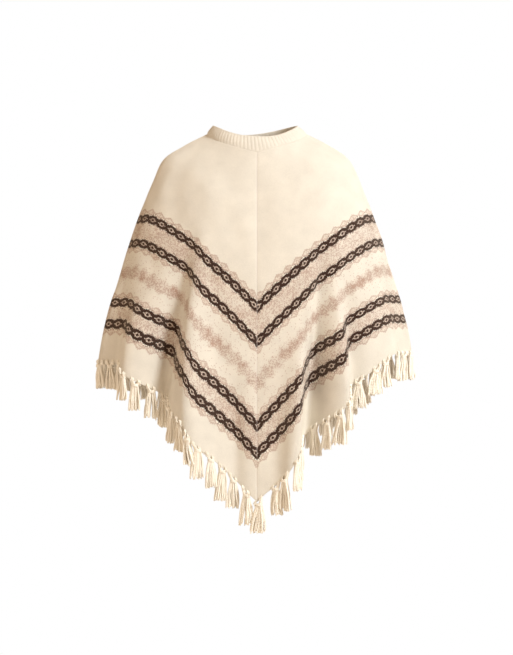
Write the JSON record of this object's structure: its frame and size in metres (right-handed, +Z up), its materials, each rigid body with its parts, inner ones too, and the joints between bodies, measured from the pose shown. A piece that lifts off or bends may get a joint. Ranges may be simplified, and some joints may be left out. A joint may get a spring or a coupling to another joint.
{
  "type": "knitted poncho sweater",
  "caption": "Knitted poncho sweater in its worn form: ribbed neck, mitred front and back points, patterned bands and a yarn fringe along the hem.",
  "frame": {"origin": "middle of the neck at the level of the shoulders, where the wearer holds the garment up", "axes": "+Z up, -Y towards the front point, +X to the wearer's left"},
  "size_m": [0.7135, 0.4169, 0.8885],
  "materials": {
    "patterned_knit": "soft matt wool-blend knit, cream with taupe and dark brown stranded bands",
    "rib_knit": "soft matt ribbed knit in cream",
    "fringe_yarn": "matt cream yarn in knotted bundles"
  },
  "bodies": {
    "root": {"panel_left": "patterned_knit", "panel_right": "patterned_knit", "neckband": "rib_knit", "fringe_front_left": "fringe_yarn", "fringe_front_right": "fringe_yarn", "fringe_back_left": "fringe_yarn", "fringe_back_right": "fringe_yarn"}
  },
  "joints": []
}
